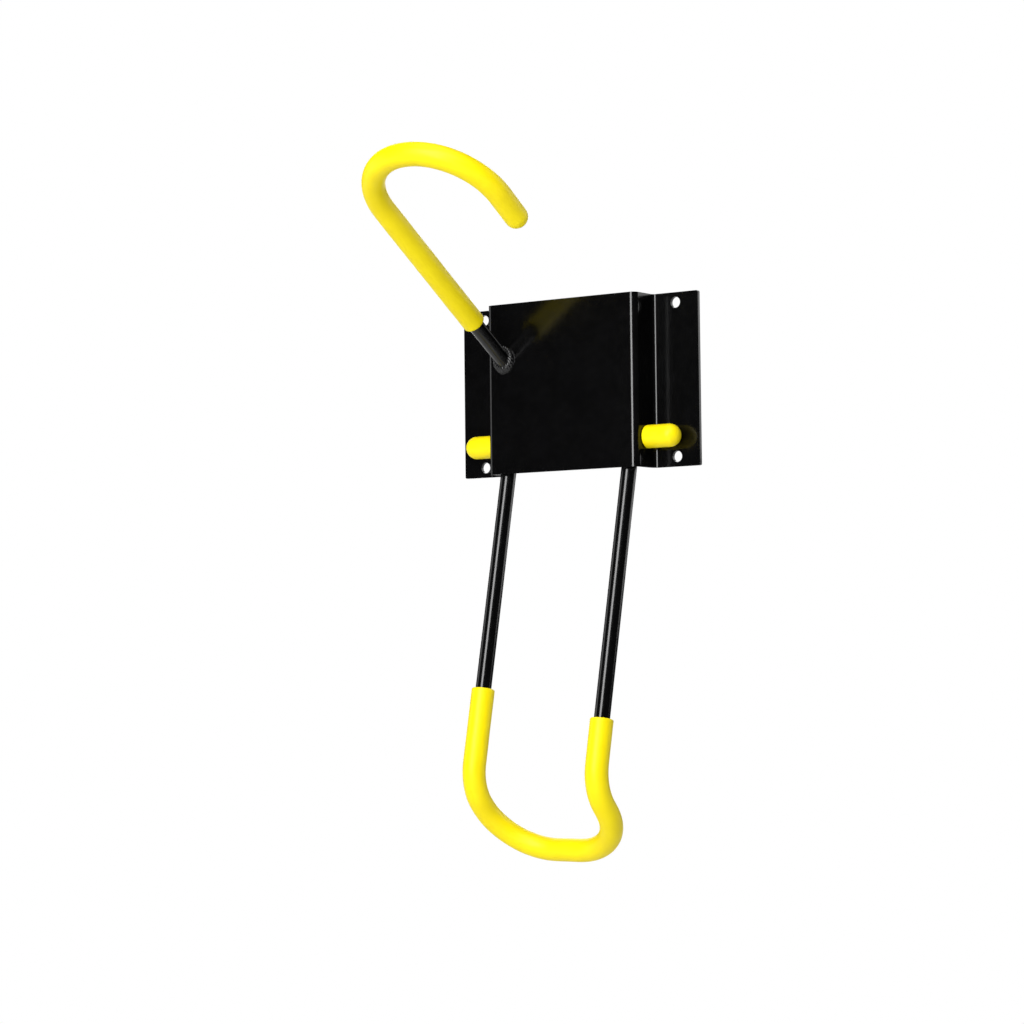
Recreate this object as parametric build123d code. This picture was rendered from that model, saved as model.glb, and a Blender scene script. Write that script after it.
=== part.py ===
"""Bicycle wall rack: a pressed steel bracket, a welded hook and a hinged wire loop.

Millimetres. X runs along the wall, to the right as one faces it. Y runs into the wall, whose
surface is the plane Y = 0, so the whole rack lies at Y <= 0. Z is up. The origin is the centre
of the four mounting holes, on the back of the bracket.

The hook carries the rim of one wheel. The loop below the bracket has a leg on each side of the
tyre, so the wheel cannot swing sideways, and a foot that reaches back behind the tyre.
"""

import os
from math import asin, cos, degrees, hypot, radians, sin, tan

from build123d import *

# Stock sizes
ROD_DIAMETER = 8.7          # 11/32 in steel rod, hook and loop
SLEEVE_DIAMETER = 12.7      # outside of the 2 mm vinyl tube over the rod
SHEET = 1.9                 # 14 gauge sheet steel

# Bracket: a top-hat section
BRACKET_WIDTH = 158.0       # over both flanges
BRACKET_HEIGHT = 95.0
RAISED_WIDTH = 100.0        # over the outside of the two webs
RAISED_DEPTH = 20.0         # wall to the front of the raised face
BEND_INSIDE_RADIUS = 2.0
CORNER_RADIUS = 1.0
HOLE_SPACING_X = 129.0
HOLE_SPACING_Z = 84.0
HOLE_DIAMETER = 6.0
PICK_TOLERANCE = 0.01       # when an edge is picked by where it is

# Hook: a cane-shaped rod in a plane that climbs away from the wall
HOOK_SLOPE = 34.0           # degrees above the horizontal
HOOK_BEND_RADIUS = 38.0     # of the rod's centre line, so the two arms are 76 apart
HOOK_FACE_HEIGHT = 16.0     # where the rod's axis leaves the raised face, above the origin
HOOK_REACH = 128.0          # along the slope, raised face to the start of the half turn
HOOK_RETURN = 16.5          # straight stretch after the half turn
HOOK_SLEEVE_START = 33.0    # along the slope, bare rod before the sleeve
HOOK_TAIL_BEND = 8.0        # centre-line radius where the rod turns down inside the bracket
HOOK_TAIL_BOTTOM = -17.0
HOOK_TAIL_GAP = 0.1         # between the tail and the inside of the face

# Loop: legs, knees, foot and pin ends of one bent rod
PIVOT_Y = -9.6
PIVOT_Z = -31.0
LEG_X = 40.5                # centre line of each leg
LEG_LEAN = 12.2             # degrees from the vertical, away from the wall
KNEE_Z = -220.5             # corner where the legs turn back towards the wall
FOOT_Y = -17.0              # centre line of the cross bar
FOOT_Z = -255.3
PIN_BEND = 5.5              # centre-line radii of the three kinds of bend
KNEE_BEND = 25.5
FOOT_BEND = 33.0
PIN_END_X = 66.5
ROD_CLEARANCE = 0.08        # radial, rod in any hole in the sheet
SLEEVE_TOP_LEFT = -167.0
SLEEVE_TOP_RIGHT = -183.3

# Cap on each pin end
CAP_START_X = 50.3
CAP_END_X = 71.0

# Weld beads
FRONT_WELD_LEG = 3.2
FRONT_WELD_TOE = 0.4        # how far the bead's thin end stands off the rod
TAIL_WELD_LEG = 2.6
TAIL_WELD_TOP = 4.0
TAIL_WELD_BOTTOM = -14.0

rod_radius = ROD_DIAMETER / 2
sleeve_radius = SLEEVE_DIAMETER / 2
face_y = -RAISED_DEPTH
inner_face_y = face_y + SHEET
through = 4 * SHEET         # a cutter this long passes right through the sheet
slope = radians(HOOK_SLOPE)
lean = radians(LEG_LEAN)
tail_y = inner_face_y + rod_radius + HOOK_TAIL_GAP


def tube_along(path, radius):
    """A round bar of this radius along the path."""
    start = Plane(origin=path @ 0, z_dir=path % 0)
    return sweep(start * Circle(radius), path=path)


# ---------------------------------------------------------------- bracket

def hat_section():
    """The bracket's section in plan, with square corners."""
    half = BRACKET_WIDTH / 2
    web = RAISED_WIDTH / 2
    inner = web - SHEET
    front = [(web, face_y), (web, -SHEET), (half, -SHEET)]
    back = [(half, 0), (inner, 0), (inner, inner_face_y)]
    right_side = [*front, *back]
    left_side = [(-x, y) for x, y in reversed(right_side)]
    return make_face(Polyline(*right_side, *left_side, close=True))


def vertical_edges_at(solid, x_size, y):
    """The upright edges at |X| = x_size on the plane Y = y."""
    found = []
    for edge in solid.edges().filter_by(Axis.Z):
        middle = edge @ 0.5
        if abs(abs(middle.X) - x_size) < PICK_TOLERANCE and abs(middle.Y - y) < PICK_TOLERANCE:
            found.append(edge)
    return found


def make_bracket():
    """The folded sheet: two flanges, two webs and the raised face, with all its holes."""
    sheet = extrude(hat_section(), BRACKET_HEIGHT / 2, both=True)
    web = RAISED_WIDTH / 2
    outside_radius = BEND_INSIDE_RADIUS + SHEET
    sheet = fillet(vertical_edges_at(sheet, web, face_y), outside_radius)
    sheet = fillet(vertical_edges_at(sheet, web - SHEET, inner_face_y), BEND_INSIDE_RADIUS)
    sheet = fillet(vertical_edges_at(sheet, web, -SHEET), BEND_INSIDE_RADIUS)
    sheet = fillet(vertical_edges_at(sheet, web - SHEET, 0), outside_radius)
    sheet = fillet(flange_corners(sheet), CORNER_RADIUS)
    for x in (-HOLE_SPACING_X / 2, HOLE_SPACING_X / 2):
        for z in (-HOLE_SPACING_Z / 2, HOLE_SPACING_Z / 2):
            sheet -= Plane.XZ * Pos(x, z) * Cylinder(HOLE_DIAMETER / 2, through)
    loose_radius = rod_radius + ROD_CLEARANCE
    pin_line = Pos(0, PIVOT_Y, PIVOT_Z) * Rot(0, 90, 0)
    sheet -= pin_line * Cylinder(loose_radius, RAISED_WIDTH + through)
    return sheet - tube_along(shank_path(through), loose_radius)


def flange_corners(sheet):
    """The four short edges through the sheet at the flanges' outer corners."""
    found = []
    for edge in sheet.edges().filter_by(Axis.Y):
        middle = edge @ 0.5
        if abs(abs(middle.X) - BRACKET_WIDTH / 2) < PICK_TOLERANCE:
            found.append(edge)
    return found


# ---------------------------------------------------------------- hook

def hook_direction():
    """Unit vector up the hook's slope, away from the wall."""
    return Vector(0, -cos(slope), sin(slope))


def hook_point(x, distance):
    """A point in the hook's plane, at this distance up the slope from the raised face."""
    return Vector(x, face_y, HOOK_FACE_HEIGHT) + hook_direction() * distance


def hook_turn_and_return(return_length):
    """The half turn and the arm that comes back beside the wheel."""
    radius = HOOK_BEND_RADIUS
    end = hook_point(radius, HOOK_REACH)
    turn = ThreePointArc(hook_point(-radius, HOOK_REACH), hook_point(0, HOOK_REACH + radius), end)
    back = Line(end, hook_point(radius, HOOK_REACH - return_length))
    return [*turn.edges(), *back.edges()]


def shank_path(distance):
    """Up the tail behind the face, through the face and this far along the slope."""
    x = -HOOK_BEND_RADIUS
    tail_corner = hook_point(x, (face_y - tail_y) / cos(slope))
    tail_end = Vector(x, tail_y, HOOK_TAIL_BOTTOM)
    return FilletPolyline(tail_end, tail_corner, hook_point(x, distance), radius=HOOK_TAIL_BEND)


def make_hook_rod():
    """The bare rod: a tail against the inside of the face, the shank and the cane."""
    path = Wire([*shank_path(HOOK_REACH).edges(), *hook_turn_and_return(HOOK_RETURN)])
    return tube_along(path, rod_radius)


def make_hook_sleeve():
    """The vinyl tube over the hook, closed by a dome at the tip."""
    radius = HOOK_BEND_RADIUS
    start = hook_point(-radius, HOOK_SLEEVE_START)
    straight = Line(start, hook_point(-radius, HOOK_REACH))
    path = Wire([*straight.edges(), *hook_turn_and_return(HOOK_RETURN)])
    tip = hook_point(radius, HOOK_REACH - HOOK_RETURN)
    dome = Plane(origin=tip, z_dir=-hook_direction()) * Sphere(sleeve_radius)
    return tube_along(path, sleeve_radius) + dome - tube_along(path, rod_radius)


def make_front_weld():
    """The bead around the shank where it leaves the raised face."""
    base = hook_point(-HOOK_BEND_RADIUS, 0)
    top = hook_point(-HOOK_BEND_RADIUS, FRONT_WELD_LEG / cos(slope))
    long_radius = rod_radius / cos(slope)
    wide = Ellipse(rod_radius + FRONT_WELD_LEG, long_radius + FRONT_WELD_LEG)
    narrow = Ellipse(rod_radius + FRONT_WELD_TOE, long_radius + FRONT_WELD_TOE)
    outward = Plane(origin=base, x_dir=(1, 0, 0), z_dir=(0, -1, 0))
    raised = Plane(origin=top, x_dir=(1, 0, 0), z_dir=(0, -1, 0))
    bead = loft([outward * wide, raised * narrow])
    return bead - tube_along(shank_path(HOOK_SLEEVE_START), rod_radius)


def make_tail_weld(side):
    """A bead along one side (-1 left, 1 right) of the hook's tail, inside the bracket."""
    reach = rod_radius + TAIL_WELD_LEG / 2
    section = Polyline(
        (0, inner_face_y),
        (side * reach, inner_face_y),
        (side * rod_radius, inner_face_y + TAIL_WELD_LEG),
        (0, tail_y),
        close=True,
    )
    bead = extrude(make_face(section), TAIL_WELD_TOP - TAIL_WELD_BOTTOM)
    bead = Pos(-HOOK_BEND_RADIUS, 0, TAIL_WELD_BOTTOM) * bead
    return bead - tube_along(shank_path(HOOK_SLEEVE_START), rod_radius)


# ---------------------------------------------------------------- loop

def leg_y(z):
    """Y of a leg's centre line at this height."""
    return PIVOT_Y - (PIVOT_Z - z) * tan(lean)


def foot_corners(side):
    """The knee and the foot's corner on one leg (-1 left, 1 right), from the top down."""
    return [(side * LEG_X, leg_y(KNEE_Z), KNEE_Z), (side * LEG_X, FOOT_Y, FOOT_Z)]


def make_loop_rod():
    """The whole loop, from pin end to pin end."""
    ends = [
        [(side * PIN_END_X, PIVOT_Y, PIVOT_Z), (side * LEG_X, PIVOT_Y, PIVOT_Z)]
        for side in (-1, 1)
    ]
    points = [*ends[0], *foot_corners(-1), *reversed(foot_corners(1)), *reversed(ends[1])]
    radii = [PIN_BEND, KNEE_BEND, FOOT_BEND, FOOT_BEND, KNEE_BEND, PIN_BEND]
    return tube_along(FilletPolyline(*points, radius=radii), rod_radius)


def make_loop_sleeve():
    """The vinyl tube round the foot and part way up both legs."""
    left = (-LEG_X, leg_y(SLEEVE_TOP_LEFT), SLEEVE_TOP_LEFT)
    right = (LEG_X, leg_y(SLEEVE_TOP_RIGHT), SLEEVE_TOP_RIGHT)
    points = [left, *foot_corners(-1), *reversed(foot_corners(1)), right]
    path = FilletPolyline(*points, radius=[KNEE_BEND, FOOT_BEND, FOOT_BEND, KNEE_BEND])
    return tube_along(path, sleeve_radius) - tube_along(path, rod_radius)


def make_pivot_cap(side):
    """The dome-ended cap on one pin end (-1 left, 1 right)."""
    straight = CAP_END_X - CAP_START_X - sleeve_radius
    outside = Cylinder(sleeve_radius, straight, align=(Align.CENTER, Align.CENTER, Align.MIN))
    dome = Pos(0, 0, straight) * Sphere(sleeve_radius)
    bore = Cylinder(rod_radius, PIN_END_X - CAP_START_X, align=(Align.CENTER, Align.CENTER, Align.MIN))
    place = Plane(origin=(side * CAP_START_X, PIVOT_Y, PIVOT_Z), z_dir=(side, 0, 0))
    return place * (outside + dome - bore)


# ---------------------------------------------------------------- limits of the hinge

def swing_to_wall():
    """Degrees the loop can fall back before the sleeve on the cross bar meets the wall."""
    arm = hypot(FOOT_Y - PIVOT_Y, FOOT_Z - PIVOT_Z)
    now = asin((PIVOT_Y - FOOT_Y) / arm)
    touching = asin((PIVOT_Y + sleeve_radius) / arm)
    return degrees(now - touching)


def main():
    os.makedirs("parts", exist_ok=True)
    nodes = {
        "wall_bracket": make_bracket(),
        "hook_rod": make_hook_rod(),
        "hook_sleeve": make_hook_sleeve(),
        "hook_weld_front": make_front_weld(),
        "hook_weld_tail_left": make_tail_weld(-1),
        "hook_weld_tail_right": make_tail_weld(1),
        "loop_rod": make_loop_rod(),
        "loop_sleeve": make_loop_sleeve(),
        "pivot_cap_left": make_pivot_cap(-1),
        "pivot_cap_right": make_pivot_cap(1),
    }
    for name, shape in nodes.items():
        export_step(shape, f"parts/{name}.step")
    print(f"loop falls back {swing_to_wall():.2f} degrees before its foot meets the wall")


main()
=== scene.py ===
"""The looks of the bicycle wall rack: black powder-coated steel, yellow vinyl sleeves and caps.

Metres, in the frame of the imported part: X to the right along the wall, Y into the wall, whose
face is Y = 0, and Z up, from the centre of the four mounting holes.
"""

from math import ceil, cos, pi, radians, sin, sqrt, tan

import bmesh
import bpy
from mathutils import Matrix, Quaternion, Vector, noise


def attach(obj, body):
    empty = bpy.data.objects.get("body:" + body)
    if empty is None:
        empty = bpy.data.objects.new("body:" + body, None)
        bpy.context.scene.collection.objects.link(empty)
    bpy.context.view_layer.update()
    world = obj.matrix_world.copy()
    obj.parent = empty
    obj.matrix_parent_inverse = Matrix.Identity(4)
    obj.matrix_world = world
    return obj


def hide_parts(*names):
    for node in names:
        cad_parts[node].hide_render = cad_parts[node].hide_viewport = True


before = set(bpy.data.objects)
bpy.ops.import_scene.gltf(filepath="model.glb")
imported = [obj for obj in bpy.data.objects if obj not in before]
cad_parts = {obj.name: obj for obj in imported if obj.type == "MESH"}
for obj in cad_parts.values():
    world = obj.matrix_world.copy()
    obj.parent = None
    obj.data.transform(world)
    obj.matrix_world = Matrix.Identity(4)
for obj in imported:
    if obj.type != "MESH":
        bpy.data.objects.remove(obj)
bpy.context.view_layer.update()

# Stock
ROD_RADIUS = 0.00435
SLEEVE_RADIUS = 0.00635
SHEET = 0.0019

# Bracket
BRACKET_WIDTH = 0.158
BRACKET_HEIGHT = 0.095
RAISED_WIDTH = 0.100
RAISED_DEPTH = 0.020
BEND_INSIDE_RADIUS = 0.0020
HOLE_SPACING_X = 0.129
HOLE_SPACING_Z = 0.084
HOLE_RADIUS = 0.0030
ROD_CLEARANCE = 0.00008      # on the radius of a hole that a rod goes through
CORNER_RADIUS = 0.001
PAINTED_EDGE = 0.0003        # rounding of the sheet's edges under the paint
EDGE_ANGLE = radians(35)     # edges sharper than this are rounded

# Hook, in a plane that climbs away from the wall
HOOK_SLOPE = radians(34)
HOOK_BEND_RADIUS = 0.038
HOOK_FACE_HEIGHT = 0.016
HOOK_REACH = 0.128
HOOK_RETURN = 0.0165
HOOK_SLEEVE_START = 0.033
HOOK_TAIL_BEND = 0.008
HOOK_TAIL_BOTTOM = -0.017
HOOK_TAIL_GAP = 0.0001

# Loop
PIVOT_Y = -0.0096
PIVOT_Z = -0.031
LEG_X = 0.0405
LEG_LEAN = radians(12.2)
KNEE_Z = -0.2205
FOOT_Y = -0.017
FOOT_Z = -0.2553
PIN_BEND = 0.0055
KNEE_BEND = 0.0255
FOOT_BEND = 0.033
PIN_END_X = 0.0665
SLEEVE_TOP_LEFT = -0.167
SLEEVE_TOP_RIGHT = -0.1833
CAP_START_X = 0.0503
CAP_END_X = 0.071

# Welds
FRONT_WELD_LEG = 0.0032
FRONT_LEG_SHARE = 0.84       # of that leg, what the bead has on average
FRONT_LEG_SPREAD = 0.10      # and how far it varies round the shank
FRONT_LEG_WAVES = 2.2        # scale of the noise that it varies with
TAIL_WELD_LEG = 0.0026
TAIL_END_SHARE = 0.15        # of the leg, what is left at the bead's very ends
TAIL_WELD_TOP = 0.004
TAIL_WELD_BOTTOM = -0.014
TAIL_WELD_REACH = radians(78)    # how far round the tail the bead climbs
WELD_ROOT = 0.0004           # depth that a bead runs into the rod and the sheet
BEAD_STEPS = 12
BEAD_SWELL = 0.2             # how far a bead bulges, for its leg
RIPPLE_LENGTH = 0.0016       # one ripple of a bead
RIPPLE_HEIGHT = 0.0004
RIPPLE_CURVE = 0.9           # how far the middle of a ripple runs ahead, in radians
FRONT_RIPPLE_STEPS = 20      # sections in one ripple
TAIL_RIPPLE_STEPS = 12

# Unevenness of the vinyl's thickness: a broad noise and a fine one
BROAD_SCALE = 55
BROAD_HEIGHT = 0.00010
FINE_SCALE = 190
FINE_HEIGHT = 0.00004
FINE_SHIFT = Vector((3, 5, 7))       # keeps the fine noise clear of the broad one

# Mesh detail
FIRST_SIDE = Vector((0.3, 0.2, 1))   # any direction that isn't along a rod's start
ARC_STEP = radians(3)        # of a bent path
ROD_AROUND = 48
ROD_SPACING = 0.0015
ROD_EDGE = 0.0005            # easing of a sheared rod end
SLEEVE_AROUND = 64
SLEEVE_SPACING = 0.0012
BORE_SPACING = 0.0036
CUT_EDGE = 0.0007            # rolled outer edge of cut vinyl
BORE_EDGE = 0.0004           # easing of the bore's rim
LIP_STEPS = 4
DOME_STEPS = 12
FOLD_STEPS = 10              # round one bend of the sheet
CORNER_STEPS = 5
EDGE_STEPS = 3
HOLE_AROUND = 64

# Camera: where the photograph was taken from, in the frame of the rack
CAMERA_PLACE = Vector((0.9291, -1.3509, -0.158))
CAMERA_TARGET = Vector((-0.006, -0.058, -0.0715))
CAMERA_ROLL = radians(-0.62)
CAMERA_LENS = 104            # millimetres, on a sensor of this width
CAMERA_SENSOR = 36

# Studio
FLOOR_Z = -0.9
FLOOR_RADIUS = 6.0
FLOOR_AROUND = 96
FADE_START = 0.8             # from the middle of the floor, where it starts to turn white
FADE_END = 3.0
ROOM_LIGHT = 0.03            # what the surround gives to everything but the camera
WHITE = (1, 1, 1, 1)
RACK_MIDDLE = Vector((0, -0.05, -0.07))

# Linear colours, each a pair that the surface varies between
BLACK = ((0.0008, 0.0008, 0.0009), (0.0016, 0.0016, 0.0018))
YELLOW = ((0.88, 0.70, 0.0012), (0.94, 0.77, 0.0018))
PALE_GREY = ((0.82, 0.82, 0.81), (0.85, 0.85, 0.84))

# Most of a noise lies between these, so colours and roughness go from one end to the other
NOISE_LOW = 0.3
NOISE_HIGH = 0.7

SAME_POINT = 1e-6            # points nearer than this are one point

face_y = -RAISED_DEPTH
inner_face_y = face_y + SHEET
tail_y = inner_face_y + ROD_RADIUS + HOOK_TAIL_GAP
uphill = Vector((0, -cos(HOOK_SLOPE), sin(HOOK_SLOPE)))


# ---------------------------------------------------------------- paths

def rounded_path(corners, radii):
    """Points along straight runs joined by tangent arcs, as wire bent round formers."""
    points = [corners[0]]
    for before, corner, after, radius in zip(corners, corners[1:], corners[2:], radii):
        back = (before - corner).normalized()
        onward = (after - corner).normalized()
        half_corner = back.angle(onward) / 2
        centre = corner + (back + onward).normalized() * radius / sin(half_corner)
        spoke = corner + back * radius / tan(half_corner) - centre
        turn = pi - 2 * half_corner
        axis = onward.cross(back)
        steps = ceil(turn / ARC_STEP)
        for step in range(steps + 1):
            points.append(centre + Quaternion(axis, turn * step / steps) @ spoke)
    points.append(corners[-1])
    apart = [b for a, b in zip(points, points[1:]) if (b - a).length > SAME_POINT]
    return [points[0], *apart]


class Route:
    """A path that gives the place and the cross-section axes at any distance along it.

    Past either end it runs straight on, which is where a dome or a rounded lip may lie.
    """

    def __init__(self, points, first_side):
        self.points = points
        self.marks = [0.0]
        self.frames = []
        side = first_side
        for before, after in zip(points, points[1:]):
            along = (after - before).normalized()
            side = (side - along * side.dot(along)).normalized()
            self.frames.append((along, side))
            self.marks.append(self.marks[-1] + (after - before).length)
        self.length = self.marks[-1]

    def at(self, distance):
        """Place, direction, and the two axes across it."""
        last = len(self.frames) - 1
        index = 0
        while index < last and distance > self.marks[index + 1]:
            index += 1
        along, side = self.frames[index]
        place = self.points[index] + along * (distance - self.marks[index])
        if 0 < index < last and 0 <= distance <= self.length:
            along, side = self.blended(index, distance)
        return place, along, side, along.cross(side)

    def blended(self, index, distance):
        """Direction and side axis, turned smoothly from one short segment to the next."""
        share = (distance - self.marks[index]) / (self.marks[index + 1] - self.marks[index])
        neighbour = index + 1 if share > 0.5 else index - 1
        weight = abs(share - 0.5)
        along = self.frames[index][0].lerp(self.frames[neighbour][0], weight).normalized()
        side = self.frames[index][1].lerp(self.frames[neighbour][1], weight)
        return along, (side - along * side.dot(along)).normalized()


def hook_point(x, distance):
    """A point in the hook's plane, at this distance up the slope from the raised face."""
    return Vector((x, face_y, HOOK_FACE_HEIGHT)) + uphill * distance


def cane_points(start, return_length):
    """From a place on the shank, round the half turn and back down the short arm."""
    radius = HOOK_BEND_RADIUS
    corners = [
        hook_point(-radius, start),
        hook_point(-radius, HOOK_REACH + radius),
        hook_point(radius, HOOK_REACH + radius),
        hook_point(radius, HOOK_REACH - return_length),
    ]
    return rounded_path(corners, [radius, radius])


def shank_points(distance):
    """Up the tail behind the face, through the face and this far up the slope."""
    x = -HOOK_BEND_RADIUS
    tail_corner = hook_point(x, (face_y - tail_y) / cos(HOOK_SLOPE))
    tail_end = Vector((x, tail_y, HOOK_TAIL_BOTTOM))
    return rounded_path([tail_end, tail_corner, hook_point(x, distance)], [HOOK_TAIL_BEND])


def hook_rod_points():
    """The tail, the shank and the cane."""
    return shank_points(HOOK_SLEEVE_START)[:-1] + cane_points(HOOK_SLEEVE_START, HOOK_RETURN)


def leg_y(z):
    """Y of a leg's centre line at this height."""
    return PIVOT_Y - (PIVOT_Z - z) * tan(LEG_LEAN)


def leg_corners(side):
    """The knee and the foot's corner on one leg (-1 left, 1 right), from the top down."""
    knee = Vector((side * LEG_X, leg_y(KNEE_Z), KNEE_Z))
    return [knee, Vector((side * LEG_X, FOOT_Y, FOOT_Z))]


def loop_points(left_top, right_top, top_radii):
    """The loop's centre line between two lists of points at the tops of its legs."""
    corners = [*left_top, *leg_corners(-1), *reversed(leg_corners(1)), *reversed(right_top)]
    radii = [*top_radii, KNEE_BEND, FOOT_BEND, FOOT_BEND, KNEE_BEND, *top_radii]
    return rounded_path(corners, radii)


def loop_rod_points():
    """From one pin end to the other."""
    tops = [
        [Vector((side * PIN_END_X, PIVOT_Y, PIVOT_Z)), Vector((side * LEG_X, PIVOT_Y, PIVOT_Z))]
        for side in (-1, 1)
    ]
    return loop_points(tops[0], tops[1], [PIN_BEND])


def loop_sleeve_points():
    """From the top of the left sleeve down, across the foot and up the right leg."""
    left = Vector((-LEG_X, leg_y(SLEEVE_TOP_LEFT), SLEEVE_TOP_LEFT))
    right = Vector((LEG_X, leg_y(SLEEVE_TOP_RIGHT), SLEEVE_TOP_RIGHT))
    return loop_points([left], [right], [])


# ---------------------------------------------------------------- meshes

def finished_mesh(bm, material, body, node):
    """Turns a bmesh into a piece that rides on a body and stands for its CAD node."""
    bmesh.ops.recalc_face_normals(bm, faces=bm.faces)
    for face in bm.faces:
        face.smooth = True
    mesh = bpy.data.meshes.new(f"{node}_visual")
    bm.to_mesh(mesh)
    bm.free()
    piece = bpy.data.objects.new(f"{node}_visual", mesh)
    bpy.context.scene.collection.objects.link(piece)
    mesh.materials.append(material)
    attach(piece, body)
    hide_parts(node)


def rings_to_mesh(rings, closed):
    """Joins rings of points one after the other; a ring of a single point is a pole."""
    bm = bmesh.new()
    made = [[bm.verts.new(point) for point in ring] for ring in rings]
    pairs = list(zip(made, made[1:]))
    if closed:
        pairs.append((made[-1], made[0]))
    for near, far in pairs:
        count = max(len(near), len(far))
        for k in range(count):
            after = (k + 1) % count
            if len(near) == 1:
                bm.faces.new((near[0], far[after], far[k]))
            elif len(far) == 1:
                bm.faces.new((near[k], near[after], far[0]))
            else:
                bm.faces.new((near[k], near[after], far[after], far[k]))
    return bm


def ring_on(route, distance, radius, around, wobble):
    """One ring of the skin round a route, or its single point where the radius is 0."""
    place, _along, side, across = route.at(distance)
    if radius < SAME_POINT:
        return [place]
    ring = []
    for k in range(around):
        angle = 2 * pi * k / around
        outward = side * cos(angle) + across * sin(angle)
        point = place + outward * radius
        ring.append(point + outward * wobble(point))
    return ring


def still(point):
    """No wobble, at any point."""
    return 0.0


def evenly(start, end, spacing):
    """Distances from start to end, about this far apart, both ends included."""
    steps = max(1, round(abs(end - start) / spacing))
    return [start + (end - start) * step / steps for step in range(steps + 1)]


def lip(distance, radius, rounding, opening):
    """Stations round the outer edge of a cut end: opening is -1 at a start and 1 at an end."""
    stations = []
    for step in range(LIP_STEPS + 1):
        angle = pi / 2 * step / LIP_STEPS
        back = rounding * (1 - sin(angle))
        drop = rounding * (1 - cos(angle))
        stations.append((distance - opening * back, radius - drop))
    return stations if opening > 0 else list(reversed(stations))


# ---------------------------------------------------------------- rods and vinyl

def rod_mesh(points):
    """A bent solid rod with eased ends."""
    route = Route(points, FIRST_SIDE)
    length = route.length
    stations = [
        (0.0, 0.0),
        *lip(0.0, ROD_RADIUS, ROD_EDGE, -1),
        *[(d, ROD_RADIUS) for d in evenly(ROD_EDGE, length - ROD_EDGE, ROD_SPACING)[1:-1]],
        *lip(length, ROD_RADIUS, ROD_EDGE, 1),
        (length, 0.0),
    ]
    rings = [ring_on(route, d, r, ROD_AROUND, still) for d, r in stations]
    return rings_to_mesh(rings, closed=False)


def vinyl_wobble(point):
    """The slightly uneven thickness of soft tube pushed over a rod."""
    broad = noise.noise(point * BROAD_SCALE)
    fine = noise.noise(point * FINE_SCALE + FINE_SHIFT)
    return BROAD_HEIGHT * broad + FINE_HEIGHT * fine


def dome(distance, radius):
    """Stations over a hemisphere that ends a sleeve."""
    stations = []
    for step in range(1, DOME_STEPS + 1):
        angle = pi / 2 * step / DOME_STEPS
        stations.append((distance + radius * sin(angle), radius * cos(angle)))
    return stations


def open_sleeve(points):
    """A vinyl tube over a rod, cut square at both ends, as one closed skin."""
    route = Route(points, FIRST_SIDE)
    length = route.length
    outside = [
        *lip(0.0, SLEEVE_RADIUS, CUT_EDGE, -1),
        *[(d, SLEEVE_RADIUS) for d in evenly(CUT_EDGE, length - CUT_EDGE, SLEEVE_SPACING)[1:-1]],
        *lip(length, SLEEVE_RADIUS, CUT_EDGE, 1),
    ]
    bore = [
        (length, ROD_RADIUS + BORE_EDGE),
        *[(d, ROD_RADIUS) for d in evenly(length - BORE_EDGE, BORE_EDGE, BORE_SPACING)],
        (0.0, ROD_RADIUS + BORE_EDGE),
    ]
    return sleeve_skin(route, bore, outside, closed=True)


def domed_sleeve(points, bore_length):
    """A vinyl tube or cap over a rod's end: cut square at its start, a dome beyond its end."""
    route = Route(points, FIRST_SIDE)
    outside = [
        *lip(0.0, SLEEVE_RADIUS, CUT_EDGE, -1),
        *[(d, SLEEVE_RADIUS) for d in evenly(CUT_EDGE, route.length, SLEEVE_SPACING)[1:]],
        *dome(route.length, SLEEVE_RADIUS),
    ]
    bore = [
        (bore_length, 0.0),
        *[(d, ROD_RADIUS) for d in evenly(bore_length, BORE_EDGE, BORE_SPACING)],
        (0.0, ROD_RADIUS + BORE_EDGE),
    ]
    return sleeve_skin(route, bore, outside, closed=False)


def sleeve_skin(route, bore, outside, closed):
    """The skin of a sleeve, from stations along its bore and then over its outside."""
    inner = [ring_on(route, d, r, SLEEVE_AROUND, still) for d, r in bore]
    outer = [ring_on(route, d, r, SLEEVE_AROUND, vinyl_wobble) for d, r in outside]
    return rings_to_mesh([*inner, *outer], closed)


def rods(material):
    """The hook's rod and the loop's."""
    hook = rod_mesh(hook_rod_points())
    finished_mesh(hook, material, "bracket", "hook_rod")
    loop = rod_mesh(loop_rod_points())
    finished_mesh(loop, material, "wheel_loop", "loop_rod")


def sleeves(material):
    """The vinyl over the hook, and that over the loop's foot and legs."""
    cane = cane_points(HOOK_SLEEVE_START, HOOK_RETURN)
    hook = domed_sleeve(cane, Route(cane, FIRST_SIDE).length)
    finished_mesh(hook, material, "bracket", "hook_sleeve")
    loop = open_sleeve(loop_sleeve_points())
    finished_mesh(loop, material, "wheel_loop", "loop_sleeve")


def pivot_cap(side, name, material):
    """The cap on one pin (-1 left, 1 right), outside the bracket's web."""
    start = Vector((side * CAP_START_X, PIVOT_Y, PIVOT_Z))
    end = Vector((side * (CAP_END_X - SLEEVE_RADIUS), PIVOT_Y, PIVOT_Z))
    cap = domed_sleeve([start, end], PIN_END_X - CAP_START_X)
    finished_mesh(cap, material, "wheel_loop", f"pivot_cap_{name}")


# ---------------------------------------------------------------- bracket

def arc(centre_x, centre_y, radius, start, end):
    """Points on a circle in plan; angles are from +X, in degrees."""
    made = []
    for step in range(FOLD_STEPS + 1):
        angle = radians(start + (end - start) * step / FOLD_STEPS)
        made.append((centre_x + radius * cos(angle), centre_y + radius * sin(angle)))
    return made


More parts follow.
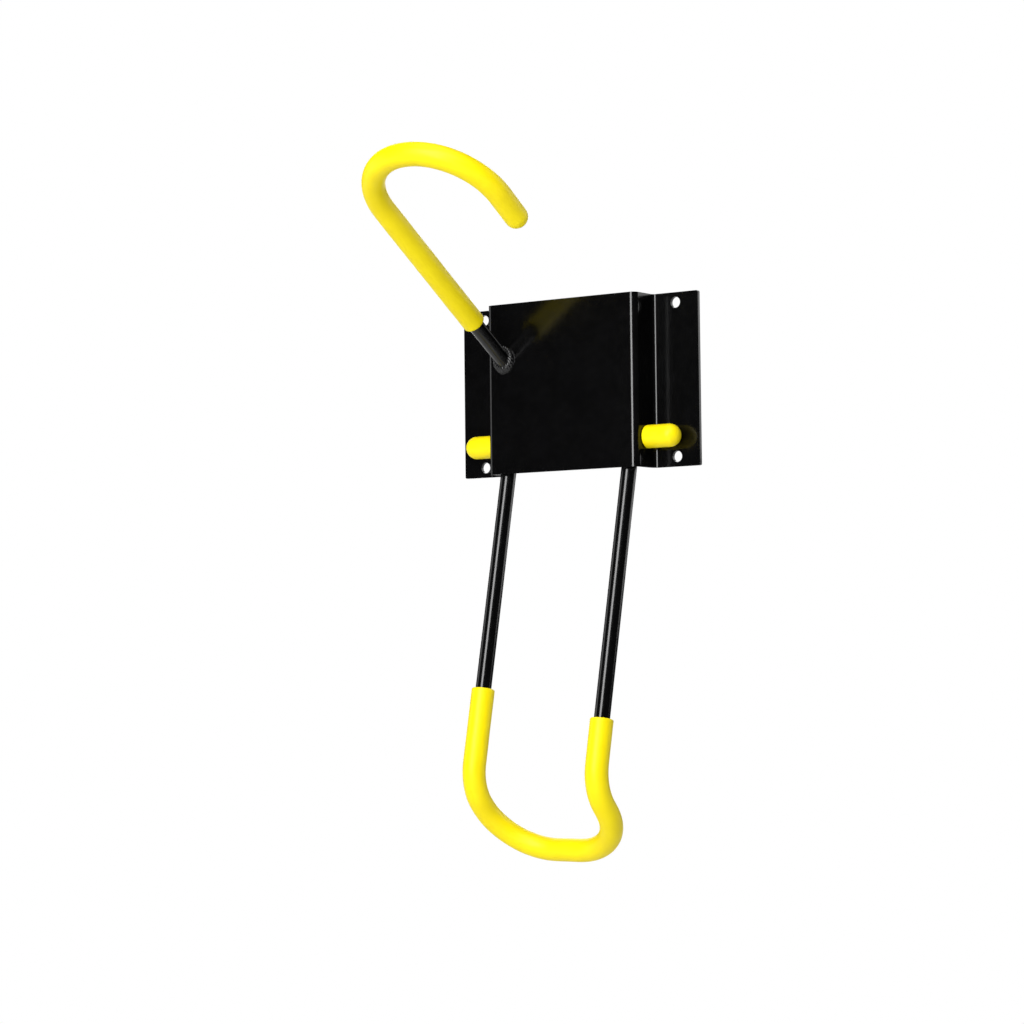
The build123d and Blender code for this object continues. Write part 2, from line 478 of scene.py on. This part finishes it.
def half_section():
    """The right half of the folded sheet in plan, as pairs of a front point and a back point."""
    web = RAISED_WIDTH / 2
    half = BRACKET_WIDTH / 2
    inside = BEND_INSIDE_RADIUS
    outside = inside + SHEET
    raised_x = web - outside
    raised_y = face_y + outside
    foot_x = web + inside
    foot_y = -SHEET - inside
    front = [
        *arc(raised_x, raised_y, outside, -90, 0),
        *arc(foot_x, foot_y, inside, 180, 90),
        (half, -SHEET),
    ]
    back = [
        *arc(raised_x, raised_y, inside, -90, 0),
        *arc(foot_x, foot_y, outside, 180, 90),
        (half, 0.0),
    ]
    return list(zip(front, back))


def hat_sheet():
    """The folded sheet before its holes are cut."""
    pairs = half_section()
    mirrored = [((-a, b), (-c, d)) for (a, b), (c, d) in reversed(pairs)]
    stations = [*mirrored, *pairs]
    half_height = BRACKET_HEIGHT / 2
    loops = []
    for (front_x, front_y), (back_x, back_y) in stations:
        loops.append([
            Vector((front_x, front_y, -half_height)),
            Vector((front_x, front_y, half_height)),
            Vector((back_x, back_y, half_height)),
            Vector((back_x, back_y, -half_height)),
        ])
    bm = capped(rings_to_mesh(loops, closed=False), len(loops[0]))
    corners = flange_corners(bm)
    bmesh.ops.bevel(
        bm, geom=corners, offset=CORNER_RADIUS, segments=CORNER_STEPS, profile=0.5, affect="EDGES",
    )
    return bm


def flange_corners(bm):
    """The four short edges through the sheet at the flanges' outer corners."""
    found = []
    for edge in bm.edges:
        middle = (edge.verts[0].co + edge.verts[1].co) / 2
        at_side = abs(abs(middle.x) - BRACKET_WIDTH / 2) < SAME_POINT
        at_end = abs(abs(middle.z) - BRACKET_HEIGHT / 2) < SAME_POINT
        if at_side and at_end:
            found.append(edge)
    return found


def capped(bm, count):
    """Closes a skin whose first and last rings, of this many points, are open."""
    bm.verts.ensure_lookup_table()
    bm.faces.new(bm.verts[:count])
    bm.faces.new(bm.verts[-count:])
    bmesh.ops.recalc_face_normals(bm, faces=bm.faces)
    return bm


def cutter(centre, direction, radius, length):
    """A cylinder that a hole is cut with."""
    bm = bmesh.new()
    turn = Vector((0, 0, 1)).rotation_difference(direction).to_matrix().to_4x4()
    bmesh.ops.create_cone(
        bm, cap_ends=True, segments=HOLE_AROUND, radius1=radius, radius2=radius, depth=length,
        matrix=Matrix.Translation(centre) @ turn,
    )
    return bm


def temporary(bm, name):
    """A throw-away object, for a modifier to use."""
    mesh = bpy.data.meshes.new(name)
    bm.to_mesh(mesh)
    bm.free()
    made = bpy.data.objects.new(name, mesh)
    bpy.context.scene.collection.objects.link(made)
    return made


def hole_cutters():
    """Four mounting holes, the line of the pivot and the slanting hole for the hook."""
    cutters = []
    depth = 6 * SHEET            # long enough to pass well beyond both faces
    for x in (-HOLE_SPACING_X / 2, HOLE_SPACING_X / 2):
        for z in (-HOLE_SPACING_Z / 2, HOLE_SPACING_Z / 2):
            cutters.append(cutter(Vector((x, 0, z)), Vector((0, 1, 0)), HOLE_RADIUS, depth))
    loose = ROD_RADIUS + ROD_CLEARANCE
    pivot = Vector((0, PIVOT_Y, PIVOT_Z))
    cutters.append(cutter(pivot, Vector((1, 0, 0)), loose, RAISED_WIDTH + depth))
    route = Route(shank_points(depth), Vector((1, 0, 0)))
    rings = [ring_on(route, d, loose, HOLE_AROUND, still) for d in route.marks]
    cutters.append(capped(rings_to_mesh(rings, closed=False), HOLE_AROUND))
    return cutters


def wall_bracket(material):
    """The folded sheet with its holes, its edges eased by the paint."""
    sheet = temporary(hat_sheet(), "wall_bracket_visual")
    helpers = []
    for number, shape in enumerate(hole_cutters()):
        helper = temporary(shape, f"cutter_{number}")
        helpers.append(helper)
        cut = sheet.modifiers.new(f"hole_{number}", "BOOLEAN")
        cut.operation = "DIFFERENCE"
        cut.solver = "EXACT"
        cut.object = helper
    ease = sheet.modifiers.new("ease", "BEVEL")
    ease.width = PAINTED_EDGE
    ease.segments = EDGE_STEPS
    ease.limit_method = "ANGLE"
    ease.angle_limit = EDGE_ANGLE
    ease.harden_normals = True
    for face in sheet.data.polygons:
        face.use_smooth = True
    bpy.context.view_layer.update()
    evaluated = sheet.evaluated_get(bpy.context.evaluated_depsgraph_get())
    final = bpy.data.meshes.new_from_object(evaluated)
    sheet.modifiers.clear()
    sheet.data = final
    for helper in helpers:
        bpy.data.objects.remove(helper)
    final.materials.clear()
    final.materials.append(material)
    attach(sheet, "bracket")
    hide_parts("wall_bracket")


# ---------------------------------------------------------------- welds

def bead_profile(foot, top, outward, leg, phase):
    """Points from the plate over a swollen bead to the rod, with its crescent ripples.

    The phase goes up by pi from one ripple to the next.
    """
    points = []
    for step in range(BEAD_STEPS + 1):
        share = step / BEAD_STEPS
        swell = sin(pi * share)
        ripple = abs(sin(phase + RIPPLE_CURVE * swell))
        bulge = swell * (BEAD_SWELL * leg + RIPPLE_HEIGHT * ripple)
        points.append(foot.lerp(top, share) + outward * bulge)
    return points


def front_weld(material):
    """The rippled bead round the shank where it leaves the raised face."""
    centre = hook_point(-HOOK_BEND_RADIUS, 0)
    long_radius = ROD_RADIUS / cos(HOOK_SLOPE)
    ripples = round(2 * pi * (ROD_RADIUS + FRONT_WELD_LEG / 2) / RIPPLE_LENGTH)
    sections = []
    around = FRONT_RIPPLE_STEPS * ripples
    for k in range(around):
        angle = 2 * pi * k / around
        radial = Vector((cos(angle), 0, sin(angle)))
        root = centre + Vector((ROD_RADIUS * cos(angle), 0, long_radius * sin(angle)))
        uneven = noise.noise(Vector((cos(angle), sin(angle), 0)) * FRONT_LEG_WAVES)
        leg = FRONT_WELD_LEG * (FRONT_LEG_SHARE + FRONT_LEG_SPREAD * uneven)
        foot = root + radial * leg
        top = root + uphill * leg
        outward = (radial - Vector((0, 1, 0))).normalized()
        bead = bead_profile(foot, top, outward, leg, ripples * angle / 2)
        under_top = top - radial * WELD_ROOT
        under_root = root - radial * WELD_ROOT + Vector((0, WELD_ROOT / 2, 0))
        under_foot = foot + Vector((0, WELD_ROOT / 2, 0))
        sections.append([*bead, under_top, under_root, under_foot])
    bm = rings_to_mesh(sections, closed=True)
    finished_mesh(bm, material, "bracket", "hook_weld_front")


def tail_weld(side, name, material):
    """The bead down one side (-1 left, 1 right) of the hook's tail, inside the bracket."""
    length = TAIL_WELD_TOP - TAIL_WELD_BOTTOM
    lean = Vector((side * sin(TAIL_WELD_REACH), -cos(TAIL_WELD_REACH), 0))
    outward = Vector((side, 1, 0)).normalized()
    sections = []
    for distance in evenly(0.0, length, RIPPLE_LENGTH / TAIL_RIPPLE_STEPS):
        z = TAIL_WELD_BOTTOM + distance
        to_end = min(distance, length - distance)
        taper = min(1.0, TAIL_END_SHARE + sqrt(to_end / TAIL_WELD_LEG))
        leg = TAIL_WELD_LEG * taper
        foot = Vector((-HOOK_BEND_RADIUS + side * (ROD_RADIUS + leg / 2), inner_face_y, z))
        on_rod = Vector((-HOOK_BEND_RADIUS, tail_y, z)) + lean * ROD_RADIUS
        top = foot.lerp(on_rod, taper)
        bead = bead_profile(foot, top, outward, leg / 2, pi * distance / RIPPLE_LENGTH)
        root = Vector((-HOOK_BEND_RADIUS + side * ROD_RADIUS / 2, inner_face_y - WELD_ROOT / 2, z))
        sections.append([*bead, root])
    bm = capped(rings_to_mesh(sections, closed=False), len(sections[0]))
    finished_mesh(bm, material, "bracket", f"hook_weld_tail_{name}")


# ---------------------------------------------------------------- materials

def new_material(name):
    """An empty node material: its nodes, its links and its principled shader."""
    material = bpy.data.materials.new(name)
    material.use_nodes = True
    nodes = material.node_tree.nodes
    return material, nodes, material.node_tree.links, nodes["Principled BSDF"]


def noise_at(nodes, links, scale, detail, roughness=0.5):
    """A noise texture fixed to the piece, with this many features per metre."""
    place = nodes.new("ShaderNodeTexCoord")
    texture = nodes.new("ShaderNodeTexNoise")
    texture.inputs["Scale"].default_value = scale
    texture.inputs["Detail"].default_value = detail
    texture.inputs["Roughness"].default_value = roughness
    links.new(place.outputs["Object"], texture.inputs["Vector"])
    return texture


def mottled(nodes, links, source, first, last):
    """A colour that varies between two with a noise."""
    ramp = nodes.new("ShaderNodeValToRGB")
    ramp.color_ramp.elements[0].position = NOISE_LOW
    ramp.color_ramp.elements[0].color = (*first, 1)
    ramp.color_ramp.elements[1].position = NOISE_HIGH
    ramp.color_ramp.elements[1].color = (*last, 1)
    links.new(source.outputs["Fac"], ramp.inputs["Fac"])
    return ramp


def bumps(nodes, links, source, height, strength, under=None):
    """A bump of this height from a noise, over another bump if one is given."""
    bump = nodes.new("ShaderNodeBump")
    bump.inputs["Distance"].default_value = height
    bump.inputs["Strength"].default_value = strength
    links.new(source.outputs["Fac"], bump.inputs["Height"])
    if under:
        links.new(under.outputs["Normal"], bump.inputs["Normal"])
    return bump


def roughness_from(nodes, links, source, low, high):
    """Roughness that varies between two values with a noise."""
    spread = nodes.new("ShaderNodeMapRange")
    spread.inputs["From Min"].default_value = NOISE_LOW
    spread.inputs["From Max"].default_value = NOISE_HIGH
    spread.inputs["To Min"].default_value = low
    spread.inputs["To Max"].default_value = high
    links.new(source.outputs["Fac"], spread.inputs["Value"])
    return spread


def black_powder_coat():
    """Glossy black powder coat, with its fine orange peel."""
    material, nodes, links, shader = new_material("black_powder_coat")
    patches = noise_at(nodes, links, scale=60, detail=4)
    colour = mottled(nodes, links, patches, *BLACK)
    links.new(colour.outputs["Color"], shader.inputs["Base Color"])
    cloudy = noise_at(nodes, links, scale=240, detail=3)
    spread = roughness_from(nodes, links, cloudy, low=0.13, high=0.18)
    links.new(spread.outputs["Result"], shader.inputs["Roughness"])
    coarse = noise_at(nodes, links, scale=420, detail=2)
    fine = noise_at(nodes, links, scale=2600, detail=2)
    peel = bumps(nodes, links, coarse, height=0.00004, strength=0.35)
    grain = bumps(nodes, links, fine, height=0.000012, strength=0.30, under=peel)
    links.new(grain.outputs["Normal"], shader.inputs["Normal"])
    return material


def yellow_vinyl_skin():
    """Soft canary-yellow vinyl: satin, a little uneven, faintly mottled."""
    material, nodes, links, shader = new_material("yellow_vinyl_skin")
    patches = noise_at(nodes, links, scale=45, detail=5, roughness=0.6)
    colour = mottled(nodes, links, patches, *YELLOW)
    links.new(colour.outputs["Color"], shader.inputs["Base Color"])
    cloudy = noise_at(nodes, links, scale=300, detail=3)
    spread = roughness_from(nodes, links, cloudy, low=0.38, high=0.48)
    links.new(spread.outputs["Result"], shader.inputs["Roughness"])
    shader.inputs["Specular IOR Level"].default_value = 0.22
    coarse = noise_at(nodes, links, scale=700, detail=3)
    fine = noise_at(nodes, links, scale=3200, detail=2)
    dimples = bumps(nodes, links, coarse, height=0.00004, strength=0.2)
    grain = bumps(nodes, links, fine, height=0.000012, strength=0.2, under=dimples)
    links.new(grain.outputs["Normal"], shader.inputs["Normal"])
    return material


def pale_floor():
    """Pale matt floor that fades into the white surround with distance."""
    material, nodes, links, shader = new_material("pale_floor")
    speckle = noise_at(nodes, links, scale=90, detail=5)
    colour = mottled(nodes, links, speckle, *PALE_GREY)
    links.new(colour.outputs["Color"], shader.inputs["Base Color"])
    shader.inputs["Roughness"].default_value = 0.7
    place = nodes.new("ShaderNodeTexCoord")
    distance = nodes.new("ShaderNodeVectorMath")
    distance.operation = "LENGTH"
    fade = nodes.new("ShaderNodeMapRange")
    fade.interpolation_type = "SMOOTHSTEP"
    fade.inputs["From Min"].default_value = FADE_START
    fade.inputs["From Max"].default_value = FADE_END
    white = nodes.new("ShaderNodeEmission")
    white.inputs["Color"].default_value = WHITE
    mix = nodes.new("ShaderNodeMixShader")
    links.new(place.outputs["Object"], distance.inputs[0])
    links.new(distance.outputs["Value"], fade.inputs["Value"])
    links.new(fade.outputs["Result"], mix.inputs["Fac"])
    links.new(shader.outputs["BSDF"], mix.inputs[1])
    links.new(white.outputs["Emission"], mix.inputs[2])
    links.new(mix.outputs["Shader"], nodes["Material Output"].inputs["Surface"])
    return material


# ---------------------------------------------------------------- studio

def soft_light(name, azimuth, elevation, distance, width, height, power):
    """A softbox aimed at the rack, its azimuth counted from straight in front of the wall.

    Angles are in degrees, sizes in metres and the power in watts.
    """
    turn = radians(azimuth)
    rise = radians(elevation)
    toward = Vector((sin(turn) * cos(rise), -cos(turn) * cos(rise), sin(rise)))
    data = bpy.data.lights.new(name, "AREA")
    data.shape = "RECTANGLE"
    data.size = width
    data.size_y = height
    data.energy = power
    light = bpy.data.objects.new(name, data)
    light.location = RACK_MIDDLE + toward * distance
    light.rotation_euler = (-toward).to_track_quat("-Z", "Y").to_euler()
    light.visible_camera = False
    bpy.context.scene.collection.objects.link(light)


def white_surround():
    """A world that is white to the camera and dim to everything else."""
    world = bpy.data.worlds.new("surround")
    bpy.context.scene.world = world
    world.use_nodes = True
    nodes = world.node_tree.nodes
    links = world.node_tree.links
    room = nodes["Background"]
    room.inputs["Color"].default_value = WHITE
    room.inputs["Strength"].default_value = ROOM_LIGHT
    backdrop = nodes.new("ShaderNodeBackground")
    path = nodes.new("ShaderNodeLightPath")
    mix = nodes.new("ShaderNodeMixShader")
    backdrop.inputs["Color"].default_value = WHITE
    links.new(path.outputs["Is Camera Ray"], mix.inputs["Fac"])
    links.new(room.outputs["Background"], mix.inputs[1])
    links.new(backdrop.outputs["Background"], mix.inputs[2])
    links.new(mix.outputs["Shader"], nodes["World Output"].inputs["Surface"])


def soft_lights():
    """Softboxes in front of the wall, above, and behind it for the views from the back."""
    soft_light("key", azimuth=32, elevation=42, distance=2.1, width=0.9, height=0.9, power=15)
    soft_light("tall_front", azimuth=6, elevation=18, distance=2.2, width=0.95, height=1.8, power=50)
    soft_light("left_fill", azimuth=-75, elevation=5, distance=2.0, width=1.0, height=1.2, power=4)
    soft_light("top", azimuth=0, elevation=80, distance=1.8, width=1.2, height=1.2, power=6)
    soft_light("back_right", azimuth=150, elevation=20, distance=2.2, width=1.6, height=1.6, power=14)
    soft_light("back_left", azimuth=215, elevation=20, distance=2.2, width=1.6, height=1.6, power=20)


def floor():
    """A round floor under the rack."""
    bm = bmesh.new()
    bmesh.ops.create_circle(bm, cap_ends=True, segments=FLOOR_AROUND, radius=FLOOR_RADIUS)
    mesh = bpy.data.meshes.new("floor")
    bm.to_mesh(mesh)
    bm.free()
    made = bpy.data.objects.new("floor", mesh)
    made.location.z = FLOOR_Z
    mesh.materials.append(pale_floor())
    bpy.context.scene.collection.objects.link(made)


def camera():
    """The photograph's own viewpoint, with the lens drawn in to the rack."""
    data = bpy.data.cameras.new("camera")
    data.lens = CAMERA_LENS
    data.sensor_width = CAMERA_SENSOR
    data.clip_start = 0.05
    data.clip_end = 30
    made = bpy.data.objects.new("camera", data)
    bpy.context.scene.collection.objects.link(made)
    made.location = CAMERA_PLACE
    aim = (CAMERA_TARGET - CAMERA_PLACE).to_track_quat("-Z", "Y")
    made.rotation_mode = "QUATERNION"
    made.rotation_quaternion = aim @ Quaternion((0, 0, 1), CAMERA_ROLL)
    bpy.context.scene.camera = made


# ---------------------------------------------------------------- the rack

black = black_powder_coat()
yellow = yellow_vinyl_skin()

wall_bracket(black)
rods(black)
sleeves(yellow)
front_weld(black)
for side, name in ((-1, "left"), (1, "right")):
    tail_weld(side, name, black)
    pivot_cap(side, name, yellow)

bpy.context.scene.view_settings.view_transform = "Standard"
white_surround()
soft_lights()
floor()
camera()
